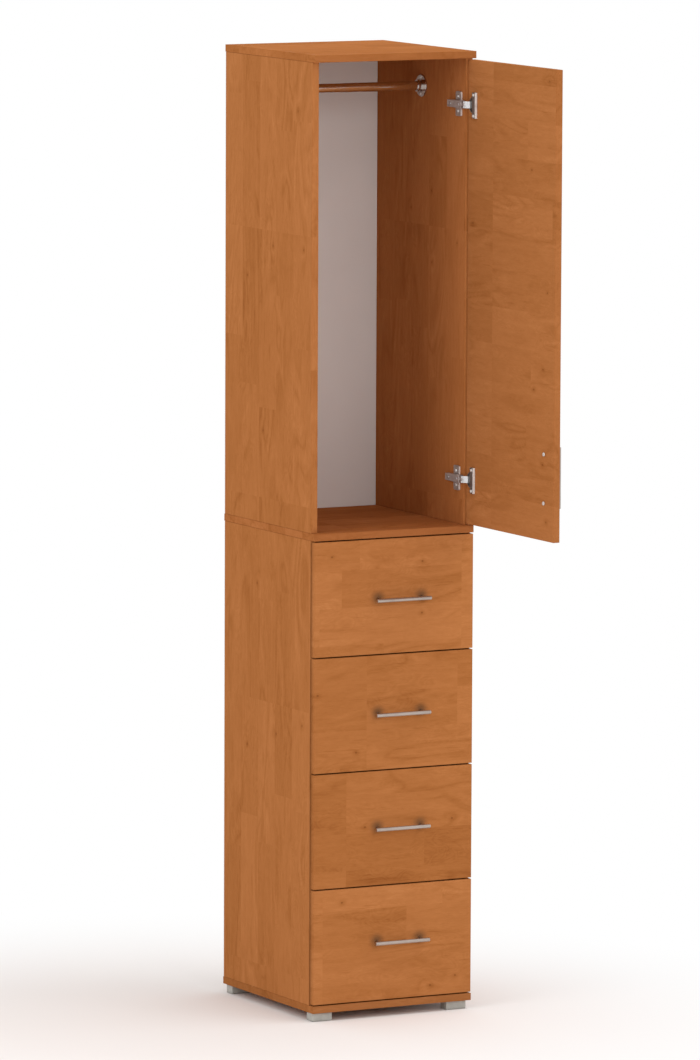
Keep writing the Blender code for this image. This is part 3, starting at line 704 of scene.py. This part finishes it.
def screwMaster(name, sizes):
    clearSelection()
    height = sizes["height"]
    rim = height * screwShape["rimShare"]
    bpy.ops.mesh.primitive_cylinder_add(vertices=screwShape["sides"], radius=sizes["radius"], depth=rim,
                                        location=(0, 0, rim / 2))
    head = bpy.context.object
    head.name = name
    bpy.ops.object.transform_apply(location=True)
    bpy.ops.object.mode_set(mode="EDIT")
    bpy.ops.mesh.select_mode(type="FACE")
    bpy.ops.mesh.select_all(action="DESELECT")
    bpy.ops.object.mode_set(mode="OBJECT")
    for face in head.data.polygons:
        face.select = face.normal.z > 0.9
    bpy.ops.object.mode_set(mode="EDIT")
    for lift, shrink in screwShape["domeSteps"]:
        bpy.ops.mesh.extrude_region_move(TRANSFORM_OT_translate={"value": (0, 0, height * lift)})
        bpy.ops.transform.resize(value=(shrink, shrink, 1.0))
    bpy.ops.object.mode_set(mode="OBJECT")
    for angle in (0.0, math.pi / 2):
        clearSelection()
        bpy.ops.mesh.primitive_cube_add(
            size=1.0, location=(0, 0, height), rotation=(0, 0, angle),
            scale=(sizes["slotLength"], sizes["slotWidth"], 2 * sizes["slotDepth"]))
        cutter = bpy.context.object
        clearSelection()
        head.select_set(True)
        bpy.context.view_layer.objects.active = head
        cut = head.modifiers.new("recess", "BOOLEAN")
        cut.operation = "DIFFERENCE"
        cut.solver = "EXACT"
        cut.object = cutter
        bpy.ops.object.modifier_apply(modifier=cut.name)
        bpy.data.objects.remove(cutter)
    bpy.ops.object.shade_smooth_by_angle(angle=screwShape["smoothAngle"])
    return head


def turnTo(direction):
    return Vector((0, 0, 1)).rotation_difference(Vector(direction)).to_matrix().to_4x4()


def placeScrew(master, name, spot, direction, body, spin, look="zincScrewSteel"):
    # a copy of the master with its own mesh, its head along the direction, turned by spin about itself
    copy = bpy.data.objects.new(name, master.data.copy())
    bpy.context.scene.collection.objects.link(copy)
    copy.data.transform(Matrix.Translation(Vector(spot)) @ turnTo(direction) @ Matrix.Rotation(spin, 4, "Z"))
    copy.data.materials.clear()
    copy.data.materials.append(metalLooks[look])
    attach(copy, body)


hingeScrews = {
    "radius": 0.0034, "height": 0.0018, "slotLength": 0.0036, "slotWidth": 0.0008, "slotDepth": 0.0007,
    "levels": {"upper": 2.031, "lower": 1.196},
    "plateFace": 0.1802, "plateY": -0.17325, "plateReach": 0.016, "plateSpin": 0.4,
    "wingFace": 0.179676, "wingY": -0.243835, "wingReach": 0.02325, "wingSpin": 0.9,
    "armFace": 0.1715, "armSpots": {"back": -0.1520, "front": -0.1890}, "armSpin": 20,
}
hingeScrew = screwMaster("hingeScrewMaster", hingeScrews)
toLeft = (-1, 0, 0)
for level, height in hingeScrews["levels"].items():
    for word, sign in (("top", 1), ("low", -1)):
        plateSpot = (hingeScrews["plateFace"], hingeScrews["plateY"],
                     height + sign * hingeScrews["plateReach"])
        placeScrew(hingeScrew, f"plate_screw_{level}_{word}", plateSpot, toLeft, "carcass",
                   hingeScrews["plateSpin"] + sign)
        wingSpot = (hingeScrews["wingFace"], hingeScrews["wingY"],
                    height + sign * hingeScrews["wingReach"])
        placeScrew(hingeScrew, f"cup_screw_{level}_{word}", wingSpot, toLeft, "door",
                   hingeScrews["wingSpin"] * sign)
    for word, armY in hingeScrews["armSpots"].items():
        placeScrew(hingeScrew, f"arm_screw_{level}_{word}", (hingeScrews["armFace"], armY, height), toLeft,
                   "carcass", armY * hingeScrews["armSpin"], "adjusterSteel")
bpy.data.objects.remove(hingeScrew)

handleScrews = {
    "radius": 0.00425, "height": 0.0022, "slotLength": 0.0046, "slotWidth": 0.0011, "slotDepth": 0.0011,
    "faceY": -0.204, "spinStep": 0.7,
}
handleScrew = screwMaster("handleScrewMaster", handleScrews)
for number, height in zip(drawerNumbers, handlePlan["heights"]):
    for word, sign in (("left", -1), ("right", 1)):
        spot = (handlePlan["centreX"] + sign * handlePlan["reach"], handleScrews["faceY"], height)
        placeScrew(handleScrew, f"drawer_{number}_handle_screw_{word}", spot, (0, 1, 0), f"drawer_{number}",
                   number * handleScrews["spinStep"] + sign)
bpy.data.objects.remove(handleScrew)

socketScrews = {
    "radius": 0.0030, "height": 0.0016, "slotLength": 0.0034, "slotWidth": 0.0008, "slotDepth": 0.0008,
    "faceX": 0.1807, "middleY": 0.0045, "middleZ": 2.0605, "reach": 0.0188, "spinStep": 0.6,
}
socketScrew = screwMaster("socketScrewMaster", socketScrews)
for hand, side in (("left", -1), ("right", 1)):
    for word, sign in (("top", 1), ("low", -1)):
        spot = (side * socketScrews["faceX"], socketScrews["middleY"],
                socketScrews["middleZ"] + sign * socketScrews["reach"])
        placeScrew(socketScrew, f"socket_screw_{hand}_{word}", spot, (-side, 0, 0), "carcass",
                   side + socketScrews["spinStep"] * sign)
bpy.data.objects.remove(socketScrew)

# cams that hold each drawer's front, let into the inner faces of the drawer sides
camFittings = {
    "radius": 0.0060, "height": 0.0007, "slotLength": 0.0070, "slotWidth": 0.0014, "slotDepth": 0.0005,
    "faceX": 0.170, "behindFront": 0.022, "lifts": {"low": 0.036, "top": 0.134}, "spinStep": 0.3,
}
camFitting = screwMaster("camMaster", camFittings)
for number in drawerNumbers:
    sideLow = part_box(f"drawer_{number}_side_left")[0]
    for hand, side in (("left", -1), ("right", 1)):
        for word, lift in camFittings["lifts"].items():
            spot = (side * camFittings["faceX"], sideLow.y + camFittings["behindFront"], sideLow.z + lift)
            placeScrew(camFitting, f"drawer_{number}_cam_{hand}_{word}", spot, (-side, 0, 0),
                       f"drawer_{number}", camFittings["spinStep"] * number + side)
bpy.data.objects.remove(camFitting)
print("screws and cams placed")


# nails that hold the backs on the side boards, seen from behind only

backNails = {
    "radius": 0.0017, "tipShare": 0.7, "height": 0.00035, "sides": 20, "smoothAngle": math.radians(40),
    "fromEdge": 0.008, "spacing": 0.150, "endInset": 0.030,
}


def nailRow(name, sheetLow, sheetHigh, edgeX):
    run = sheetHigh.z - sheetLow.z - 2 * backNails["endInset"]
    count = round(run / backNails["spacing"]) + 1
    heads = []
    for index in range(count):
        height = sheetLow.z + backNails["endInset"] + run * index / (count - 1)
        clearSelection()
        bpy.ops.mesh.primitive_cone_add(
            vertices=backNails["sides"], radius1=backNails["radius"],
            radius2=backNails["radius"] * backNails["tipShare"], depth=backNails["height"],
            rotation=(-math.pi / 2, 0, 0), location=(edgeX, sheetHigh.y + backNails["height"] / 2, height))
        heads.append(bpy.context.object)
    for head in heads:
        head.select_set(True)
    bpy.context.view_layer.objects.active = heads[0]
    bpy.ops.object.join()
    row = bpy.context.object
    row.name = name
    bpy.ops.object.transform_apply(location=True, rotation=True, scale=True)
    bpy.ops.object.shade_smooth_by_angle(angle=backNails["smoothAngle"])
    row.data.materials.clear()
    row.data.materials.append(metalLooks["zincScrewSteel"])
    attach(row, "carcass")


nailX = cabinetHalf - backNails["fromEdge"]
for bay in ("upper", "lower"):
    for hand, side in (("left", -1), ("right", 1)):
        nailRow(f"{bay}_back_nails_{hand}", *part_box(f"{bay}_back"), side * nailX)
print("back nails placed")


# camera, floor and light

view = {
    "place": (-8.58720756, -16.28702444, 3.28635721), "turn": (83.13244078, -0.2395345, -27.78340007),
    "lens": 281.0591, "sensor": 36.0, "farthest": 200.0,
}
cameraData = bpy.data.cameras.new("camera")
cameraData.lens = view["lens"]
cameraData.sensor_width = view["sensor"]
cameraData.clip_end = view["farthest"]
camera = bpy.data.objects.new("camera", cameraData)
camera.location = view["place"]
camera.rotation_euler = [math.radians(angle) for angle in view["turn"]]
bpy.context.scene.collection.objects.link(camera)
bpy.context.scene.camera = camera

# a pale matt floor that fades to plain white away from the cabinet
floorPlan = {
    "size": 120.0, "near": (0.845, 0.798, 0.775), "roughness": 0.9,
    "offset": (0.40, 0.10, 0.0), "fadeFrom": 0.40, "fadeTo": 1.50,
}
clearSelection()
bpy.ops.mesh.primitive_plane_add(size=floorPlan["size"], location=(0, 0, 0))
floor = bpy.context.object
floor.name = "studio_floor"
floorMaterial, tree, shader = newMaterial("paleFloor")
flat = shift(tree, stretch(tree, objectPlace(tree), (1.0, 1.0, 0.0)), floorPlan["offset"])
away = vectorCalc(tree, "LENGTH", flat)["Value"]
shader.inputs["Base Color"].default_value = (*floorPlan["near"], 1.0)
shader.inputs["Roughness"].default_value = floorPlan["roughness"]
shader.inputs["Specular IOR Level"].default_value = 0.0
glow = addNode(tree, "ShaderNodeEmission", {"Color": (1, 1, 1, 1), "Strength": 1.0})
fade = times(tree, blendRange(tree, away, floorPlan["fadeFrom"], floorPlan["fadeTo"]), seenDirectly(tree))
mixed = addNode(tree, "ShaderNodeMixShader", {0: fade, 1: shader.outputs[0], 2: glow.outputs[0]})
tree.links.new(mixed.outputs[0], tree.nodes["Material Output"].inputs["Surface"])
floor.data.materials.append(floorMaterial)

# a white room, dimmer as a light than as it looks, and three soft square lamps: place, size, power
lightPlan = {
    "roomLevel": 0.86,
    "aim": (0, 0, 1.1),
    "lamps": {
        "soft_front": ((0.4, -5.7, 2.5), 3.4, 74.0),
        "soft_left": ((-5.4, -1.4, 3.2), 3.4, 86.0),
        "soft_high_right": ((2.2, -1.8, 5.8), 3.0, 84.0),
    },
}
world = bpy.data.worlds.new("studio")
bpy.context.scene.world = world
world.use_nodes = True
tree = world.node_tree
background = tree.nodes["Background"]
background.inputs["Color"].default_value = (1, 1, 1, 1)
level = blendRange(tree, seenDirectly(tree), 0.0, 1.0, lightPlan["roomLevel"], 1.0)
tree.links.new(level, background.inputs["Strength"])
for lampName, (lampPlace, lampSize, power) in lightPlan["lamps"].items():
    lampData = bpy.data.lights.new(lampName, "AREA")
    lampData.size = lampSize
    lampData.energy = power
    lamp = bpy.data.objects.new(lampName, lampData)
    lamp.visible_glossy = False
    lamp.location = lampPlace
    aimed = Vector(lightPlan["aim"]) - Vector(lampPlace)
    lamp.rotation_euler = aimed.to_track_quat("-Z", "Y").to_euler()
    bpy.context.scene.collection.objects.link(lamp)
bpy.context.scene.view_settings.view_transform = "Standard"
print("camera and light set")
